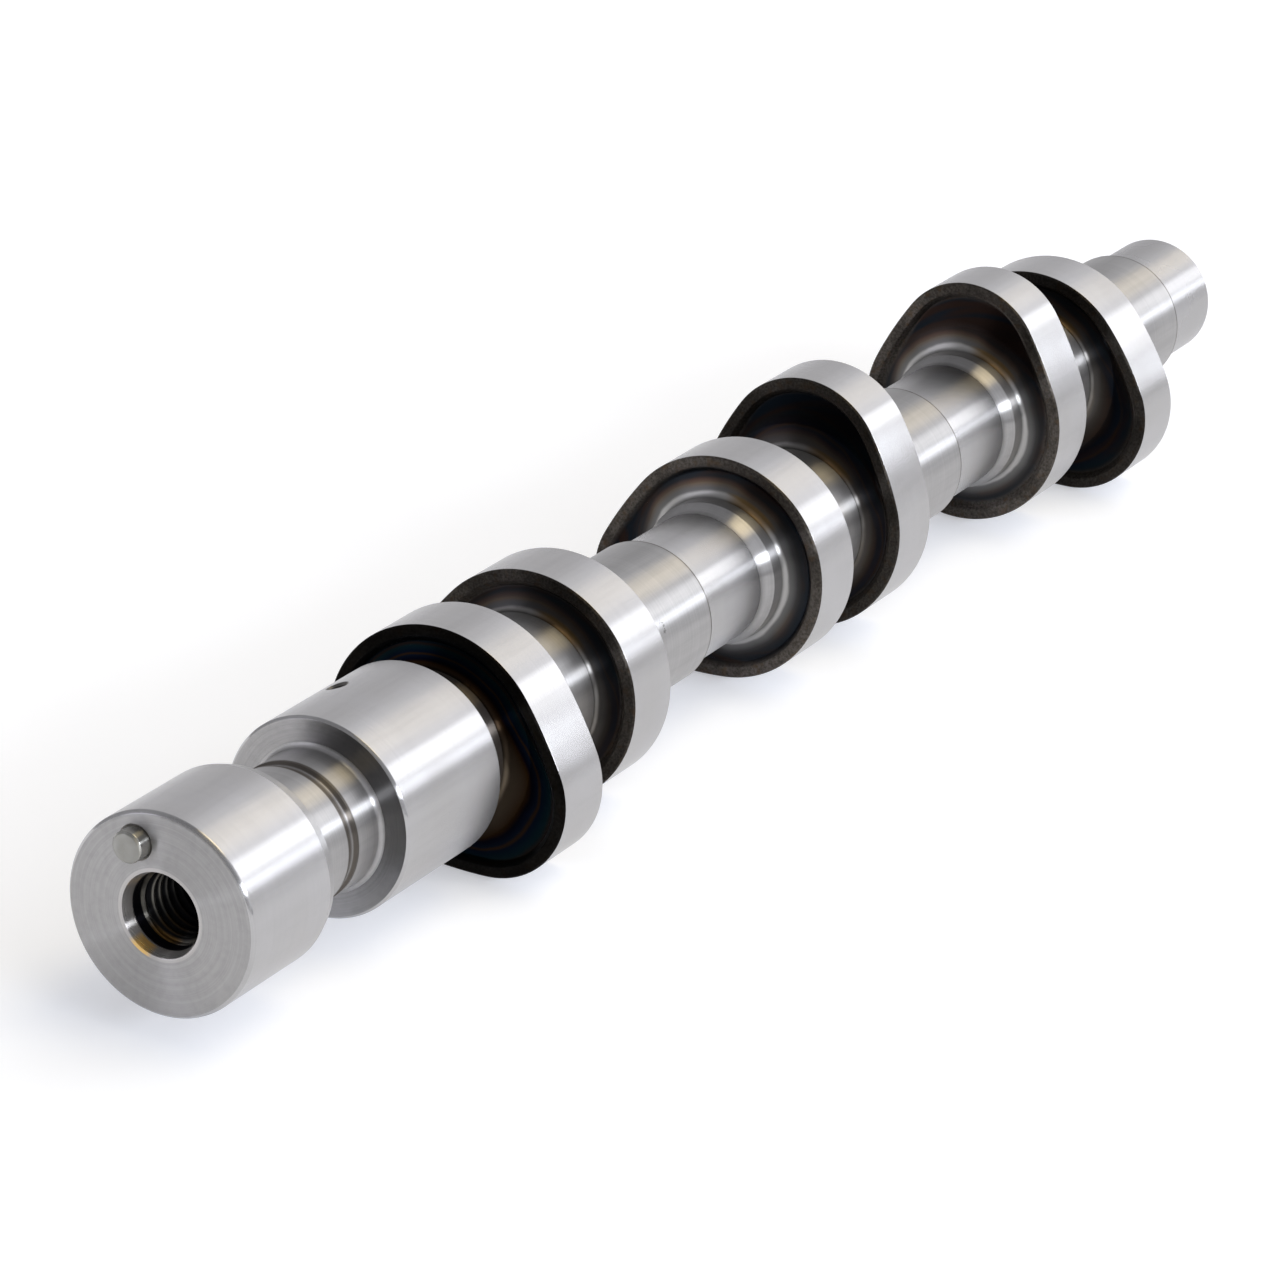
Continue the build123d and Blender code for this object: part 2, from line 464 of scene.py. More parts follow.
def add_bore(skin):
    """Oil gallery, thread, relief and mouth. Returns the mouth's ring and the oil hole's ring inside."""
    relief_end = mouth_depth + relief_depth
    thread_start = relief_end + cone_height(relief_radius - thread_core_radius, thread_lead_slope)
    thread_end = thread_start + thread_length
    core_point = thread_end + cone_height(thread_core_radius - gallery_radius, drill_point)
    gallery_end = oil_hole_x + gallery_past_oil_hole
    tip = skin.point((gallery_end + cone_height(gallery_radius, drill_point), 0, 0))
    last = skin.ring(gallery_end, gallery_radius, bore_columns)
    skin.fan(last, tip, BORE)
    outline = rows_over_hole(-gallery_window_reach, gallery_rows, gallery_radius)
    last, loop = skin.run_round(last, outline, gallery_window, BORE, bore_columns)
    to_local, to_place = radial_hole_maps(gallery_radius)
    oil_edge = patch(skin, loop, to_local, to_place, lambda bearing: oil_hole_radius, BORE)
    outline = [(core_point, gallery_radius), (thread_end, thread_core_radius)]
    last = skin.run(last, outline, BORE, bore_columns)
    last = add_thread(skin, last, thread_end, relief_end, thread_start)
    outline = rounded(
        (relief_end, relief_radius, 0),
        (mouth_depth, relief_radius, 0.08),
        (0, mouth_radius, 0.12),
        (0, mouth_radius + mouth_lip, 0),
    )
    return skin.run(last, outline[1:], BORE, bore_columns), oil_edge


def add_end_face(skin, last):
    """The nose's end face with the dowel's hole. Returns its outer ring."""
    inner = mouth_radius + 1.0
    outer = nose_radius - nose_edge - 0.5
    outline = [(0, inner + (outer - inner) * row / end_face_rows) for row in range(end_face_rows + 1)]
    last, loop = skin.run_round(last, outline, end_face_window, FACE)

    def to_local(place):
        return place[1] - dowel_y, place[2] - dowel_z

    def to_place(u, v, x=0.0):
        return x, dowel_y + u, dowel_z + v

    mouth = dowel_radius + dowel_hole_mouth
    edge = patch(skin, loop, to_local, to_place, lambda bearing: mouth, FACE)
    depth = dowel_seat + dowel_hole_spare
    outline = rounded((0, mouth, 0), (dowel_hole_mouth, dowel_radius, 0.05), (depth, dowel_radius, 0))
    for x, radius in outline[1:]:
        ring = hole_ring(skin, edge, to_local, to_place, lambda *_: radius, x)
        skin.band(edge, ring, BORE)
        edge = ring
    point = cone_height(dowel_radius, drill_point)
    skin.fan(edge, skin.point(to_place(0, 0, depth + point)), BORE)
    return last


def add_nose_and_journal(skin, last, oil_edge):
    """From the end face's edge to the front journal's rear edge, with the oil hole. Returns the last ring."""
    face_edge = nose_radius - nose_edge
    relief_start = nose_length - nose_relief_length
    floor = neck_radius - neck_groove_depth
    edge_round = 0.5
    outline = rounded(
        (0, face_edge - 0.5, 0),
        (0, face_edge, edge_round),
        (nose_edge, nose_radius, edge_round),
        (4, nose_radius, 0),
    )
    last = skin.run(last, outline[1:3], FACE)
    last = skin.run(last, outline[3:], GROUND)

    def finish_at(x, radius):
        on_nose = x <= relief_start + 0.3
        on_journal = x > neck_end and radius > front_journal_radius - front_journal_edge
        on_face = abs(x - neck_end) < 0.01 and radius > neck_radius + neck_fillet
        return GROUND if on_nose or on_journal else FACE if on_face else TURNED

    outline = rounded(
        (4, nose_radius, 0),
        (relief_start, nose_radius, 0.6),
        (nose_length, nose_radius - nose_relief_drop, 0.15),
        (nose_length, neck_radius, neck_fillet),
        (groove_start, neck_radius, 0.08),
        (groove_start, floor, 0.12),
        (groove_end - neck_groove_depth, floor, 0.1),
        (groove_end, neck_radius, 0.1),
        (neck_end, neck_radius, neck_fillet),
        (neck_end, front_journal_radius - front_journal_edge, 0.12),
        (neck_end + front_journal_edge, front_journal_radius, 0.2),
        (neck_end + 2, front_journal_radius, 0),
    )
    last = skin.run(last, outline[1:], finish_at)
    outline = rows_over_hole(journal_window_reach, journal_rows, front_journal_radius)
    last, loop = skin.run_round(last, outline, journal_window, GROUND)
    to_local, to_place = radial_hole_maps(front_journal_radius)
    edge = patch(skin, loop, to_local, to_place, oil_mouth_edge, GROUND)
    depth = front_journal_radius - oil_hole_mouth
    ring = hole_ring(skin, edge, to_local, to_place, lambda *_: oil_hole_radius, depth)
    skin.band(edge, ring, BORE)
    join_loops(skin, ring, oil_edge, BORE)
    outline = rounded(
        (oil_hole_x + journal_window_reach, front_journal_radius, 0),
        (front_journal_end - front_journal_edge, front_journal_radius, 0.2),
        (front_journal_end, front_journal_radius - front_journal_edge, 0.12),
        (front_journal_end, web_radius, 0.3),
        (front_journal_end + 2, web_radius, 0),
    )
    rim = front_journal_radius - front_journal_edge + 0.02
    return skin.run(last, outline[1:], lambda x, radius: GROUND if radius > rim else TURNED)


def join_loops(skin, first, second, finish):
    """Faces between two loops of as many points round the oil hole, each point joined to the one it faces."""
    angle = math.radians(oil_hole_angle)
    axis = Vector((0, math.cos(angle), math.sin(angle)))

    def apart(one, other):
        """Distance between two points, seen along the hole's axis."""
        place = Vector(skin.points[one]) - Vector(skin.points[other])
        return (place - axis * place.dot(axis)).length

    nearest = min(range(len(second)), key=lambda i: apart(second[i], first[0]))
    turned = second[nearest:] + second[:nearest]
    if apart(turned[1], first[1]) > apart(turned[-1], first[1]):
        turned = [turned[0]] + turned[:0:-1]
    skin.band(first, turned, finish)


def add_cam(skin, last, cam):
    """One cam, from the shaft in front of it to the shaft behind it. Returns the last ring."""
    x, turn, form, hub_rise, front_shaft, rear_shaft = cam
    angles = turns(columns)

    def hub(side, into, shaft):
        outline = rounded(
            (side - into * (hub_rise + 2.0), shaft, 0),
            (side - into * hub_rise, shaft, hub_fillet),
            (side + into * dish_depth, hub_radius, 0.25),
            (side + into * dish_depth, hub_radius + 0.15, 0),
        )
        return outline[1:]

    def wall(side, into):
        return rounded(
            (side + into * dish_depth, rim_width + dish_slope + 0.15, 0),
            (side + into * dish_depth, rim_width + dish_slope, 0.25),
            (side, rim_width, 0.2),
            (side, cam_edge, 0.15),
            (side + into * cam_edge, 0, 0.2),
            (side + into * cam_width / 2, 0, 0),
        )

    def side_rings(side, into, shaft):
        """Rings from the shaft out to the edge of the cam's track, each as (x, radii, finish)."""
        rings = [(place, np.full(columns, radius), SIDE) for place, radius in hub(side, into, shaft)]
        edge = wall(side, into)
        start = rings[-1][1]
        goal = cam_reach(form, turn, edge[0][1], angles)
        for step in range(1, floor_rings):
            share = step / floor_rings
            rings.append((side + into * dish_depth, start + (goal - start) * share, SIDE))
        for place, inset in edge[:-1]:
            finish = SIDE if inset > 0.001 else GROUND
            rings.append((place, cam_reach(form, turn, inset, angles), finish))
        return rings

    for index, (place, radii, finish) in enumerate(side_rings(x, 1, front_shaft)):
        last = skin.run(last, [(place, radii)], finish if index else TURNED)
    last = skin.run(last, [(x + cam_width / 2, cam_reach(form, turn, 0, angles))], GROUND)
    finish = GROUND
    for place, radii, own in reversed(side_rings(x + cam_width, -1, rear_shaft)):
        last = skin.run(last, [(place, radii)], finish)
        finish = own
    return last


def add_journal(skin, last, cam, next_cam_x):
    """Spacer, reduced bearing journal, lead and land between two cylinders. Returns the last ring."""
    land_start = next_cam_x - land_length
    journal_end = land_start - lead_length
    spacer_end = journal_end - journal_length
    outline = rounded(
        (cam[0] + cam_width + 4, spacer_radius, 0),
        (spacer_end - spacer_edge, spacer_radius, 0.1),
        (spacer_end, spacer_radius - spacer_edge, 0.1),
        (spacer_end, journal_radius, 0.15),
        (journal_end, journal_radius, journal_fillet),
        (land_start, land_radius, 0.25),
        (next_cam_x - front_hub_rise - 1.8, land_radius, 0),
    )

    def finish_at(x, radius):
        return GROUND if spacer_end < x and radius < journal_radius + 0.01 else TURNED

    return skin.run(last, outline, finish_at)


def add_rear(skin, last):
    """Rear spacer, rear journal and the centre hole in its end."""
    hole_depth = cone_height(centre_hole_radius, centre_hole_slope)
    outline = rounded(
        (last_cam_end + 4, spacer_radius, 0),
        (rear_journal_start - spacer_edge, spacer_radius, 0.1),
        (rear_journal_start, spacer_radius - spacer_edge, 0.1),
        (rear_journal_start, rear_journal_radius, 0.15),
        (shaft_length - rear_edge, rear_journal_radius, 0.2),
        (shaft_length, rear_journal_radius - rear_edge, 0.15),
        (shaft_length, centre_hole_radius, 0.15),
        (shaft_length - hole_depth, 0, 0),
    )

    def finish_at(x, radius):
        ground = x > rear_journal_start + 0.1 and radius > rear_journal_radius - rear_edge + 0.01
        turned = x < shaft_length - 0.01 or radius > rear_journal_radius - rear_edge
        return GROUND if ground else TURNED if turned else FACE

    last = skin.run(last, outline[:-1], finish_at)
    skin.fan(last, skin.point((shaft_length - hole_depth, 0, 0)), TURNED)


def make_mesh(name, skin, materials):
    """Turns a skin into an object with smooth faces, whose larger faces keep their normals at soft edges."""
    mesh = bpy.data.meshes.new(name)
    mesh.from_pydata([Vector(place) * MM for place in skin.points], [], skin.faces)
    for material in materials:
        mesh.materials.append(material)
    mesh.polygons.foreach_set("material_index", skin.finishes)
    work = bmesh.new()
    work.from_mesh(mesh)
    bmesh.ops.delete(work, geom=[v for v in work.verts if not v.link_faces], context="VERTS")
    bmesh.ops.recalc_face_normals(work, faces=work.faces)
    work.to_mesh(mesh)
    work.free()
    mesh.shade_smooth()
    mesh.set_sharp_from_angle(angle=math.radians(38))
    piece = bpy.data.objects.new(name, mesh)
    bpy.context.scene.collection.objects.link(piece)
    keep_flats = piece.modifiers.new("keep_flats", "WEIGHTED_NORMAL")
    keep_flats.keep_sharp = True
    return piece


def step_places():
    """Where the shaft's spacers and the neck's groove end, along the shaft."""
    ends = [cam[0] - land_length - lead_length - journal_length for cam in cam_list()[2::2]]
    return [groove_start, groove_end, rear_journal_start, *ends]


def mark_cams(mesh):
    """Gives each point its place in the nearest cam's outline, that cam's tints, and its way to a step."""
    places = np.zeros(len(mesh.vertices) * 3)
    mesh.vertices.foreach_get("co", places)
    places = places.reshape(-1, 3) / MM
    radii = np.hypot(places[:, 1], places[:, 2])
    angles = np.arctan2(places[:, 2], places[:, 1])
    marks = {name: np.zeros(len(places)) for name in ("inset", "share", "hub_light", "rim_light", "rim_in")}
    # Points off every cam count as far inside its outline
    marks["inset"] += 9.0
    nearest = np.full(len(places), 99.0)
    for (x, turn, form, *_), tints in zip(cam_list(), side_tints):
        off = np.maximum(np.maximum(x - places[:, 0], places[:, 0] - x - cam_width), 0)
        reach = cam_reach(form, turn, 0, angles)
        closer = off < nearest
        for name, value in zip(("hub_light", "rim_light", "rim_in"), tints):
            marks[name][closer] = value
        marks["share"][closer] = ((radii - web_radius) / (reach - web_radius))[closer]
        nearest = np.minimum(off, nearest)
        marks["inset"][off < 0.01] = (reach - radii)[off < 0.01]
    marks["off_cam"] = nearest
    marks["off_step"] = np.min([np.abs(places[:, 0] - step) for step in step_places()], axis=0)
    for name, values in marks.items():
        mesh.attributes.new(name, "FLOAT", "POINT").data.foreach_set("value", values.astype(np.float32))


class Graph:
    """A node tree, with short calls for the nodes that the finishes and the surround share."""

    def __init__(self, tree):
        self.nodes = tree.nodes
        self.links = tree.links

    def plug(self, socket, value):
        if isinstance(value, bpy.types.NodeSocket):
            self.links.new(value, socket)
        else:
            socket.default_value = value

    def add(self, kind, *values, **settings):
        node = self.nodes.new(kind)
        for name, value in settings.items():
            setattr(node, name, value)
        for socket, value in zip(node.inputs, values):
            self.plug(socket, value)
        return node

    def math(self, operation, *values):
        return self.add("ShaderNodeMath", *values, operation=operation).outputs[0]

    def measure(self, operation, *vectors):
        """A number taken from vectors, such as a distance."""
        return self.add("ShaderNodeVectorMath", *vectors, operation=operation).outputs["Value"]

    def combine(self, *parts):
        return self.add("ShaderNodeCombineXYZ", *parts).outputs[0]

    def product(self, *values):
        return functools.reduce(lambda one, other: self.math("MULTIPLY", one, other), values)

    def total(self, *values):
        return functools.reduce(lambda one, other: self.math("ADD", one, other), values)

    def span(self, *values):
        """Carries a value smoothly from one range to another (0 to 1 when not given), held at its ends."""
        return self.add("ShaderNodeMapRange", *values, interpolation_type="SMOOTHSTEP").outputs[0]

    def mix(self, share, first, second, blend="MIX"):
        node = self.add("ShaderNodeMix", share, data_type="RGBA", blend_type=blend)
        self.plug(node.inputs[6], first)
        self.plug(node.inputs[7], second)
        return node.outputs[2]

    def ramp(self, value, *stops):
        """Colours along a value, from stops of (value, colour)."""
        low, high = stops[0][0], stops[-1][0]
        share = self.math("DIVIDE", self.math("SUBTRACT", value, low), high - low)
        node = self.add("ShaderNodeValToRGB", share)
        bar = node.color_ramp
        while len(bar.elements) < len(stops):
            bar.elements.new(0.5)
        for element, (place, colour) in zip(bar.elements, stops):
            element.position = (place - low) / (high - low)
            element.color = (*colour, 1.0)[:4]
        return node.outputs[0]


class Finish(Graph):
    """A material for bare metal, with the places and tool marks that its nodes share."""

    def __init__(self, name):
        self.material = bpy.data.materials.new(name)
        self.material.use_nodes = True
        super().__init__(self.material.node_tree)
        self.nodes.clear()
        self.surface = self.nodes.new("ShaderNodeBsdfPrincipled")
        self.surface.inputs["Metallic"].default_value = 1.0
        self.add("ShaderNodeOutputMaterial", self.surface.outputs[0])
        self.place = self.nodes.new("ShaderNodeTexCoord").outputs["Object"]
        apart = self.add("ShaderNodeSeparateXYZ", self.place)
        self.x, self.y, self.z = apart.outputs
        length = self.measure("LENGTH", self.combine(0.0, self.y, self.z))
        self.radius = self.math("DIVIDE", length, MM)

    def noise(self, place, scale, detail=2.0, roughness=0.5):
        return self.add("ShaderNodeTexNoise", place, 0.0, scale, detail, roughness).outputs["Fac"]

    def marks(self, scale, drift, detail=2.0, roughness=0.5):
        """Lines that run round the shaft: fast changes along it and outwards, slow ones round it."""
        outward = self.math("MULTIPLY_ADD", self.y, drift, self.math("MULTIPLY", self.radius, MM))
        place = self.combine(self.x, outward, self.math("MULTIPLY", self.z, drift))
        return self.noise(place, scale, detail, roughness)

    def streaks(self):
        """Faint wipe marks that run along the shaft."""
        stretched = self.math("MULTIPLY", self.x, 0.06)
        return self.noise(self.combine(stretched, self.y, self.z), 700.0, 3.0, 0.6)

    def attribute(self, name):
        return self.add("ShaderNodeAttribute", attribute_name=name).outputs["Fac"]

    def along(self, first, last, *ends):
        """Carries places along the shaft smoothly to another range, as span does."""
        return self.span(self.x, first * MM, last * MM, *ends)

    def facing(self, turn):
        """How far a place round the shaft faces that angle, from -1 to 1."""
        turn = math.radians(turn)
        along = self.total(self.product(self.y, math.cos(turn)), self.product(self.z, math.sin(turn)))
        return self.math("DIVIDE", self.math("DIVIDE", along, MM), self.radius)

    def raise_by(self, height, strength, depth):
        node = self.nodes.new("ShaderNodeBump")
        node.inputs["Strength"].default_value = strength
        node.inputs["Distance"].default_value = depth * MM
        self.plug(node.inputs["Height"], height)
        self.plug(self.surface.inputs["Normal"], node.outputs[0])

    def round_axis(self, axis_y=0.0, axis_z=0.0):
        """The way round an axis along the shaft, through that place."""
        down = self.math("SUBTRACT", axis_z * MM, self.z)
        across = self.math("SUBTRACT", self.y, axis_y * MM)
        return self.combine(0.0, down, across)

    def brush(self, way=None):
        """Stretches the highlights across the tool marks, which run that way, or else round the shaft."""
        self.plug(self.surface.inputs["Tangent"], way or self.round_axis())
        self.surface.inputs["Anisotropic"].default_value = 1.0
        self.surface.inputs["Anisotropic Rotation"].default_value = 0.25

    def colour(self, value):
        self.plug(self.surface.inputs["Base Color"], value)

    def colour_with_steps(self, base):
        """The colour, with a thin dark brown line painted along each step and groove as the shade at the
        step.
        """
        line = self.span(self.attribute("off_step"), 0.30, 0.70, 0.85, 0.0)
        self.colour(self.mix(line, base, grey(0.055, 0.78, 0.55)))

    def rough(self, value):
        self.plug(self.surface.inputs["Roughness"], value)


def grey(level, green=1.0, blue=1.0):
    return (level, level * green, level * blue, 1.0)


def ground_steel():
    """Ground tracks and journals: light satin steel with very fine grinding lines round the shaft."""
    finish = Finish("ground_steel")
    fine = finish.marks(6500.0, 0.008, 2.0, 0.6)
    cloud = finish.noise(finish.place, 70.0, 3.0)
    base = finish.mix(finish.span(cloud, 0.3, 0.7), grey(0.445, 0.98, 0.98), grey(0.475, 0.985, 1.0))
    base = finish.mix(finish.span(fine, 0.4, 0.7, 0.0, 0.10), base, grey(0.25))
    base = finish.mix(finish.span(finish.streaks(), 0.4, 0.7, 0.0, 0.07), base, grey(0.20))
    finish.colour_with_steps(base)
    duller = finish.along(last_cam_end - 10, rear_journal_start, 0.0, 0.05)
    finish.rough(finish.total(finish.span(cloud, 0.3, 0.7, 0.215, 0.23), duller))
    finish.brush()
    finish.raise_by(fine, 0.06, 0.001)
    return finish.material


def turned_steel(name, level, rings, behind_neck=0.0):
    """Turned steel, with finer and broader tool marks than the ground tracks show."""
    finish = Finish(name)
    fine = finish.marks(5200.0, 0.01, 2.0, 0.6)
    broad = finish.marks(1500.0, 0.012, 1.0)
    cloud = finish.noise(finish.place, 60.0, 3.0)
    light, middle, dark = (grey(level * share, 0.98, 0.98) for share in (1.0, 0.92, 0.45))
    base = finish.mix(finish.span(fine, 0.35, 0.65), light, middle)
    base = finish.mix(finish.span(broad, 0.35, 0.65, 0.0, rings), base, dark)
    base = finish.mix(finish.span(finish.streaks(), 0.4, 0.7, 0.0, 0.14), base, grey(0.18))
    grain = finish.noise(finish.place, 2600.0, 2.0)
    ragged = finish.product(finish.span(grain, 0.3, 0.7, -0.35, 0.35), MM)
    for x, turn in nick_places:
        turn = math.radians(turn)
        centre = Vector((x, spacer_radius * math.cos(turn), spacer_radius * math.sin(turn))) * MM
        away = finish.total(finish.measure("DISTANCE", finish.place, tuple(centre)), ragged)
        nick = finish.span(away, nick_core * MM, nick_edge * MM, 0.55, 0.0)
        base = finish.mix(nick, base, grey(0.05, 0.85, 0.70))
    straw = finish.span(finish.attribute("off_cam"), 0.5, 5.0, 0.25, 0.0)
    straw = finish.product(straw, finish.span(cloud, 0.4, 0.6))
    base = finish.mix(straw, base, grey(level * 0.8, 0.86, 0.66))
    # The web has a brown heat tint just before the first cam, darkened further as painted shade between the
    # journal and the cam
    tint_and_painted_shade = finish.product(
        finish.along(first_cam - 4.0, first_cam - 2.5, 0.0, 0.75),
        finish.along(first_cam + 1.5, first_cam + 1.0),
    )
    base = finish.mix(tint_and_painted_shade, base, (0.075, 0.054, 0.036, 1.0))
    # Painted shade: past the neck, faced steel darkens towards the side facing 160°, standing in for the
    # neck's dark reflection
    past_neck = finish.along(neck_end - 3, neck_end - 1, 0.0, behind_neck)
    shaded = finish.product(past_neck, finish.span(finish.facing(160.0), -0.25, 0.85, 0.1, 1.0))
    base = finish.mix(shaded, base, grey(0.0))
    finish.colour_with_steps(base)
    finish.rough(finish.total(finish.span(cloud, 0.3, 0.7, 0.30, 0.32), finish.product(past_neck, -0.16)))
    finish.brush()
    finish.raise_by(fine, 0.08, 0.001)
    return finish.material


def side_steel():
    """Sides of the cams: turned hub, blue-black hardened dish and a matt rim, each shading into the next; the
    hub's darkening outwards and its gold and bronze on some sides are partly painted shade and reflection.
    """
    finish = Finish("cam_side")
    cloud = finish.noise(finish.place, 110.0, 3.0)
    wander = finish.span(cloud, 0.3, 0.7, -1.0, 1.0)
    # Painted light: the hub's light ring reaches further out on the upper side facing 60° and, on light hubs,
    # on the lower side facing 222°
    warm_side = finish.span(finish.facing(60.0), 0.60, 0.92)
    under_side = finish.product(
        finish.span(finish.facing(222.0), 0.45, 0.95), finish.span(finish.attribute("hub_light"), 0.6, 0.9)
    )
    reach = finish.total(
        finish.radius,
        finish.product(wander, 0.2),
        finish.product(warm_side, -0.6),
        finish.product(under_side, -0.35),
    )
    # Painted shade and reflection: the hub darkens outwards from the shaft, going into the dark hardened dish
    hub = finish.ramp(
        reach,
        (12.7, grey(0.36, 0.98, 0.96)),
        (13.1, grey(0.13, 0.98, 0.96)),
        (13.7, grey(0.095, 0.98, 0.97)),
        (14.4, grey(0.042, 0.97, 0.97)),
        (15.1, grey(0.022, 0.98, 1.02)),
        (16.0, grey(0.014, 1.0, 1.1)),
        (17.0, grey(0.008, 1.0, 1.15)),
    )
    # Bronze on the hub: heat tint at random, and a painted warm reflection on the sides facing 60° and 116°
    bronze = finish.ramp(
        reach,
        (13.4, grey(0.0)),
        (14.2, (0.070, 0.040, 0.013)),
        (14.7, (0.045, 0.016, 0.004)),
        (15.3, grey(0.0)),
    )
    gold_side = finish.span(finish.facing(116.0), 0.90, 0.99)
    bronze_share = finish.total(
        finish.product(warm_side, 0.6), finish.product(gold_side, 0.6), finish.span(cloud, 0.5, 0.7, 0.0, 0.3)
    )
    hub = finish.mix(bronze_share, hub, bronze, "ADD")
    # A painted gold highlight on the hub's fillet, on the side facing 116°
    painted_gold_glint = finish.product(gold_side, finish.span(finish.radius, 13.9, 13.3, 0.0, 0.8))
    hub = finish.mix(painted_gold_glint, hub, (0.22, 0.135, 0.045, 1.0))
    low_side = finish.span(finish.facing(215.0), 0.4, 0.95, 0.24, 0.0)
    temper = finish.ramp(
        finish.total(finish.attribute("share"), low_side, finish.product(wander, 0.02)),
        (0.00, (0.160, 0.130, 0.098)),
        (0.04, (0.100, 0.080, 0.058)),
        (0.09, (0.036, 0.027, 0.019)),
        (0.24, (0.021, 0.014, 0.009)),
        (0.34, (0.013, 0.006, 0.002)),
        (0.40, (0.001, 0.001, 0.004)),
        (0.49, (0.002, 0.004, 0.009)),
        (0.53, (0.016, 0.008, 0.003)),
        (0.57, (0.001, 0.003, 0.008)),
        (0.70, (0.002, 0.007, 0.009)),
        (0.76, (0.008, 0.005, 0.004)),
        (0.80, (0.002, 0.004, 0.006)),
    )
    rings = finish.marks(520.0, 0.25, 2.0)
    tint = finish.mix(finish.span(rings, 0.4, 0.6), (0.0, 0.003, 0.006, 1.0), (0.010, 0.003, 0.0, 1.0))
    hub = finish.mix(finish.span(finish.radius, 14.5, 16.5), hub, tint, "ADD")
    side = finish.mix(finish.attribute("hub_light"), temper, hub)
    mottle = finish.noise(finish.place, 2300.0, 4.0, 0.65)
    spots = finish.noise(finish.place, 650.0, 3.0)
    rim = finish.mix(finish.span(mottle, 0.30, 0.72), grey(0.070, 0.86, 0.74), grey(0.165, 0.90, 0.80))
    rim = finish.mix(finish.span(spots, 0.52, 0.72, 0.0, 0.5), rim, (0.12, 0.074, 0.038, 1.0))
    blotch = finish.span(cloud, 0.35, 0.6)
    rim_edge = finish.total(
        finish.attribute("inset"),
        finish.product(mottle, 0.5),
        finish.product(wander, 0.15),
        finish.span(finish.facing(110.0), 0.2, 0.95, 0.0, 0.45),
        finish.product(finish.attribute("rim_in"), -1.0),
    )
    on_rim = finish.span(rim_edge, 3.2, 1.8)
    rim_light = finish.product(finish.attribute("rim_light"), finish.span(blotch, 0.0, 1.0, 0.7, 1.1))
    rim = finish.mix(1.0, rim, finish.mix(rim_light, grey(0.0), grey(1.0)), "MULTIPLY")
    finish.colour(finish.mix(on_rim, side, rim))
    finish.rough(finish.span(on_rim, 0.0, 1.0, 0.29, 0.50))
    finish.brush()
    finish.raise_by(finish.product(mottle, on_rim), 0.5, 0.02)
    return finish.material


def bore_steel():
    """The bored mouth: a bright countersink, then the undercut and drilled holes behind it, painted dark as
    shade.
    """
    finish = Finish("bore_steel")
    marks = finish.marks(2500.0, 0.02, 2.0)
    # Painted shade: the undercut behind the countersink is near-black, and the holes further in dark grey
    deep = finish.ramp(
        finish.math("DIVIDE", finish.x, MM),
        (0.0, grey(0.50, 0.965, 0.95)),
        (1.85, grey(0.46, 0.95, 0.90)),
        (2.1, grey(0.016, 0.95, 1.3)),
        (3.9, grey(0.016, 0.95, 1.3)),
        (20.0, grey(0.16, 0.95, 0.9)),
    )
    # A painted gold reflection on the countersink, on the side facing 298°
    straw = finish.product(finish.span(finish.facing(298.0), 0.945, 0.998, 0.0, 0.85), finish.along(1.9, 1.6))
    deep = finish.mix(straw, deep, (0.95, 0.60, 0.17, 1.0))
    finish.colour(finish.mix(finish.span(marks, 0.35, 0.65, 0.0, 0.12), deep, grey(0.02)))
    finish.rough(finish.span(marks, 0.3, 0.7, 0.27, 0.30))
    finish.brush()
    return finish.material


def thread_steel():
    """The tapped hole: light crests over dark flanks, all darker further in, painted as light and shade, with
    a painted gold reflection on one side.
    """
    finish = Finish("thread_steel")
    marks = finish.noise(finish.place, 900.0, 3.0)
    # Painted light and shade: crests and the lead-in light, flanks dark, the crests lighter on the side
    # facing 35°
    crest = finish.span(finish.radius, thread_core_radius + 0.08, thread_core_radius + 0.35, 1.0, 0.0)
    lead = finish.along(5.3, 4.9)
    crest = finish.product(crest, finish.span(finish.facing(35.0), -0.1, 0.9, 0.12, 1.0))
    light = finish.math("MAXIMUM", crest, lead)
    # Painted shade: darker further into the hole
    fade = finish.along(4.5, 13.0, 1.0, 0.04)
    light = finish.product(light, fade, finish.span(marks, 0.3, 0.7, 0.75, 1.0))
    # A painted gold reflection on the light parts, on the side facing 290°
    low_side = finish.span(finish.facing(290.0), 0.85, 0.99)
    painted_crest_light = finish.mix(low_side, grey(0.20, 0.95, 0.84), (0.30, 0.17, 0.05, 1.0))
    finish.colour(finish.mix(light, grey(0.008, 1.0, 1.1), painted_crest_light))
    finish.rough(finish.span(marks, 0.3, 0.7, 0.28, 0.34))
    finish.brush()
    return finish.material


def pin_steel():
    """The hardened pin: finely ground, a little warmer than the shaft, with a polished side."""
    finish = Finish("pin_steel")
    cloud = finish.noise(finish.place, 500.0, 3.0)
    on_end = finish.along(0.35 - dowel_proud, 0.1 - dowel_proud)
    finish.colour(finish.mix(finish.span(cloud, 0.3, 0.7), grey(0.34, 0.98, 0.90), grey(0.38, 0.985, 0.93)))
    finish.rough(finish.span(on_end, 0.0, 1.0, 0.26, 0.36))
    finish.brush(finish.mix(on_end, finish.round_axis(dowel_y, dowel_z), (0.0, 1.0, 0.0, 1.0)))
    return finish.material


def make_camshaft():
    """The whole shaft as one closed mesh that stands for the CAD node."""
    skin = Skin()
    last, oil_edge = add_bore(skin)
    last = add_end_face(skin, last)
    last = add_nose_and_journal(skin, last, oil_edge)
    cams = cam_list()
    for index, cam in enumerate(cams):
        if index and index % 2 == 0:
            last = add_journal(skin, last, cams[index - 1], cam[0])
        last = add_cam(skin, last, cam)
    add_rear(skin, last)
    materials = [
        ground_steel(),
        turned_steel("turned_steel", 0.44, 0.03),
        # Faced steel, painted darker past the neck as shade
        turned_steel("faced_steel", 0.40, 0.10, 0.50),
        side_steel(),
        bore_steel(),
        thread_steel(),
    ]
    piece = make_mesh("camshaft_steel", skin, materials)
    mark_cams(piece.data)
    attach(piece, "root")
    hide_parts("camshaft")
    return piece


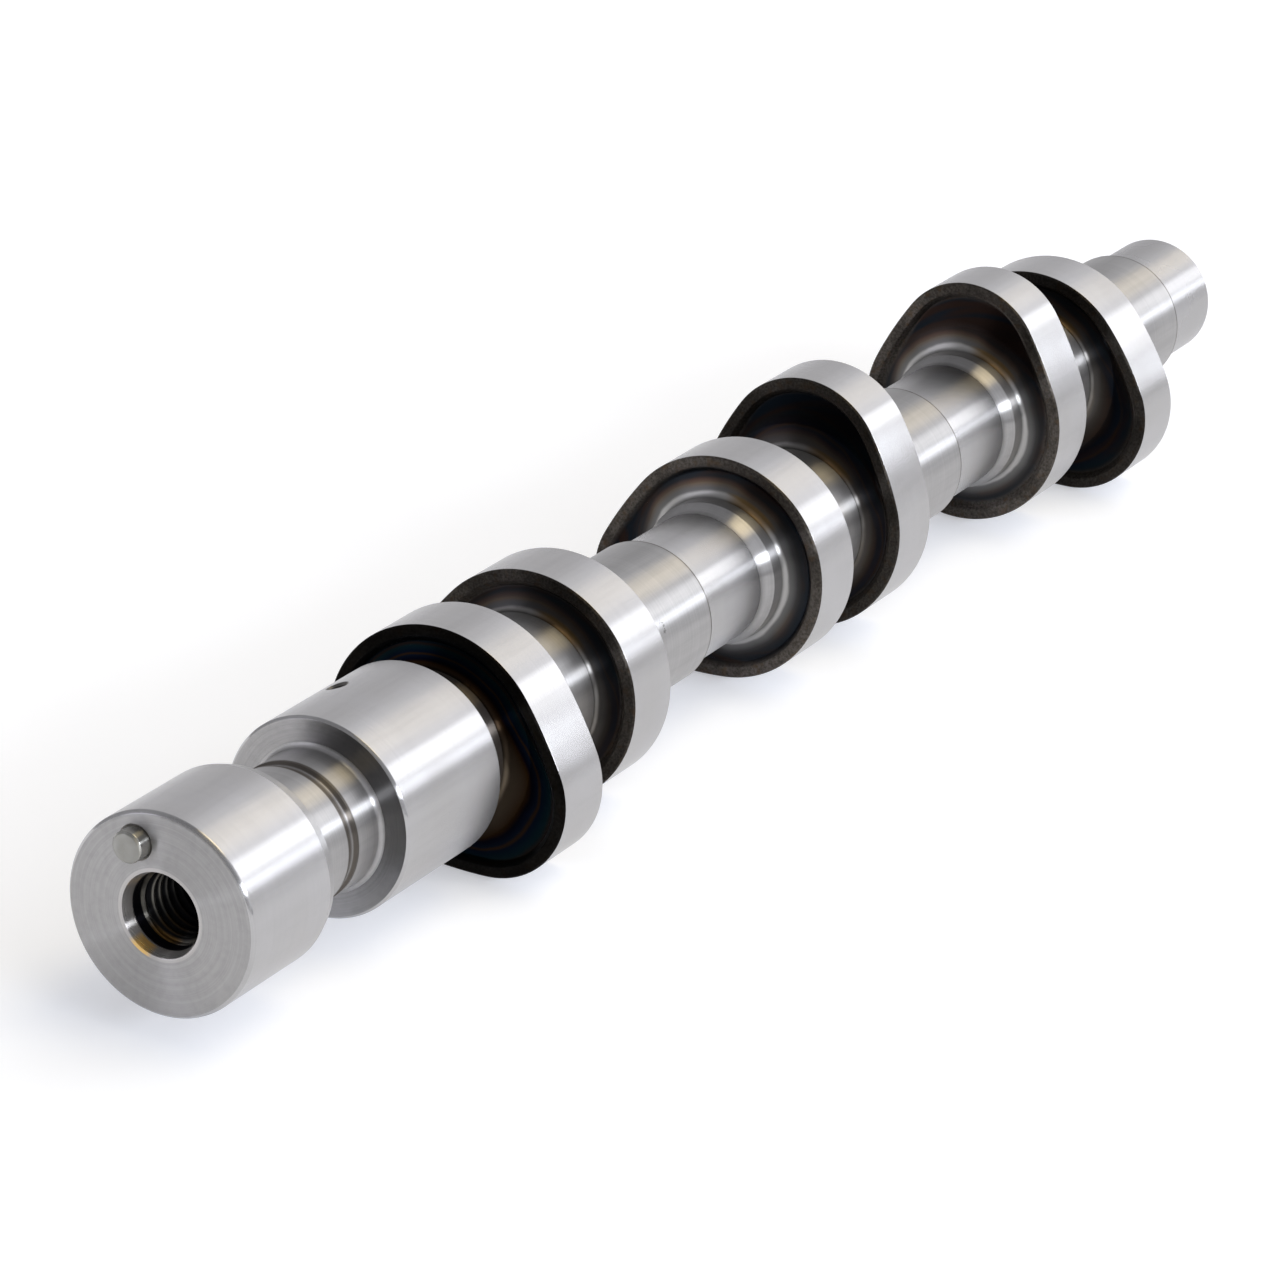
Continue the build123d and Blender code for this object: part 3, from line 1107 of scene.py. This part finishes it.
def make_dowel():
    """The dowel pin, with a soft edge round its flat end."""
    outline = rounded(
        (-dowel_proud, 1.2, 0),
        (-dowel_proud, dowel_radius - dowel_edge, 0.15),
        (-dowel_proud + dowel_edge, dowel_radius, 0.25),
        (dowel_seat - dowel_edge, dowel_radius, 0.25),
        (dowel_seat, dowel_radius - dowel_edge, 0.15),
        (dowel_seat, 1.2, 0),
    )
    skin = Skin()
    ring = skin.ring(*outline[0], dowel_columns)
    skin.fan(ring, skin.point((-dowel_proud, 0, 0)), 0)
    last = skin.run(ring, outline[1:], 0, dowel_columns)
    skin.fan(last, skin.point((dowel_seat, 0, 0)), 0)
    skin.points = [tuple(Vector(place) + Vector((0, dowel_y, dowel_z))) for place in skin.points]
    piece = make_mesh("dowel_steel", skin, [pin_steel()])
    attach(piece, "root")
    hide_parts("dowel_pin")
    return piece


def make_camera():
    """The photograph's camera, placed in the part's own frame."""
    right = Vector(camera_right).normalized()
    forward = Vector(camera_forward).normalized()
    up = right.cross(forward)
    right = forward.cross(up)
    data = bpy.data.cameras.new("camera")
    data.lens = camera_lens
    data.sensor_width = 36.0
    data.clip_start = 0.01
    data.clip_end = 50.0
    camera = bpy.data.objects.new("camera", data)
    turn = Matrix((right, up, -forward)).transposed().to_4x4()
    camera.matrix_world = Matrix.Translation(Vector(camera_place)) @ turn
    bpy.context.scene.collection.objects.link(camera)
    bpy.context.scene.camera = camera


def make_floor():
    """A pale floor under the cams, which keeps the shaft's shadow."""
    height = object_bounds()[0].z - floor_gap
    mesh = bpy.data.meshes.new("floor")
    corners = [(floor_half * x, floor_half * y, height) for x, y in ((-1, -1), (1, -1), (1, 1), (-1, 1))]
    mesh.from_pydata(corners, [], [(0, 1, 2, 3)])
    floor = bpy.data.objects.new("floor", mesh)
    bpy.context.scene.collection.objects.link(floor)
    material = bpy.data.materials.new("floor")
    material.use_nodes = True
    graph = Graph(material.node_tree)
    surface = graph.nodes["Principled BSDF"]
    surface.inputs["Base Color"].default_value = grey(0.74, 1.025, 1.075)
    surface.inputs["Roughness"].default_value = 0.9
    surface.inputs["Specular IOR Level"].default_value = 0.0
    surface.inputs["Emission Color"].default_value = grey(0.99, 1.0, 1.03)
    rays = graph.add("ShaderNodeLightPath")
    seen = graph.math("MAXIMUM", rays.outputs["Is Camera Ray"], rays.outputs["Is Glossy Ray"])
    seen = graph.math("MAXIMUM", seen, rays.outputs["Is Transmission Ray"])
    graph.plug(surface.inputs["Emission Strength"], graph.product(seen, floor_lift))
    mesh.materials.append(material)


def make_surround():
    """A pale room: a bright far end with a window, a long low window at one side, a warm overhead."""
    world = bpy.data.worlds.new("surround")
    bpy.context.scene.world = world
    world.use_nodes = True
    graph = Graph(world.node_tree)
    background = graph.nodes["Background"]
    way = graph.add("ShaderNodeTexCoord").outputs["Generated"]
    x, y, z = graph.add("ShaderNodeSeparateXYZ", way).outputs

    def toward(direction, outer, inner):
        """Share of a round light in that direction, which fades between two angles off its middle."""
        aim = Vector(direction).normalized()
        near = graph.measure("DOT_PRODUCT", way, tuple(aim))
        return graph.span(near, math.cos(math.radians(outer)), math.cos(math.radians(inner)))

    def above(turn, soft):
        """Share of the sky past the plane in which every tilt of a shaft's face at that angle looks."""
        across = (0.0, -math.sin(math.radians(turn)), math.cos(math.radians(turn)))
        level = Vector(across).dot(Vector(camera_forward))
        seen = graph.measure("DOT_PRODUCT", way, across)
        return graph.span(seen, level - soft, level + soft)

    def between(first, last, soft):
        """Share of the sky between two such planes."""
        return graph.product(above(first, soft), graph.math("SUBTRACT", 1.0, above(last, soft)))

    near_side = toward((-0.80, -0.10, 0.50), 62, 32)
    far_end = graph.span(x, 0.35, 0.58)
    far_rise = graph.product(graph.span(y, 0.45, -0.12), graph.span(z, 0.10, 0.30), far_end)
    far_edge = graph.product(graph.span(y, -0.10, -0.32), graph.span(z, 0.30, 0.40), far_end)
    far_window = graph.product(between(135.5, 145, 0.05), graph.span(x, 0.46, 0.52))
    far_pane = graph.product(between(134, 151, 0.03), graph.span(x, 0.46, 0.52))
    long_window = graph.product(
        between(147.5, 153.5, 0.02),
        graph.span(x, 0.30, 0.42, 1.0, 0.0),
        graph.span(x, -0.60, -0.35),
        graph.span(y, 0.0, -0.2),
    )
    side_wall = graph.product(
        graph.span(x, -0.55, -0.20),
        graph.span(x, 0.60, 0.40),
        graph.span(y, -0.35, -0.65),
        graph.span(z, 0.02, 0.10),
    )
    light = graph.mix(near_side, grey(0.42, 1.01, 1.05), grey(0.22, 1.01, 1.05))
    light = graph.mix(far_end, light, grey(0.84, 1.0, 1.02))
    near_glow = graph.span(x, -0.30, -0.65)
    for share, colour in (
        (far_rise, (0.62, 0.63, 0.65)),
        (far_edge, (0.22, 0.22, 0.23)),
        (far_window, (0.9, 0.9, 0.9)),
        (far_pane, (0.35, 0.37, 0.40)),
        (long_window, (10.5, 11.0, 11.8)),
        (side_wall, (0.64, 0.65, 0.68)),
        (near_glow, (0.14, 0.14, 0.145)),
        (toward((0.18, -0.33, 0.93), 20, 9), (3.3, 2.75, 1.7)),
        (toward((-0.76, 0.63, 0.14), 12, 6), (1.35, 1.35, 1.55)),
    ):
        tint = graph.add("ShaderNodeVectorMath", colour, operation="SCALE")
        graph.plug(tint.inputs["Scale"], share)
        light = graph.add("ShaderNodeVectorMath", light, tint.outputs[0], operation="ADD").outputs[0]
    graph.plug(background.inputs["Color"], light)
    background.inputs["Strength"].default_value = 1.0


bpy.context.scene.view_settings.view_transform = "Standard"
make_camera()
make_camshaft()
make_dowel()
make_floor()
make_surround()
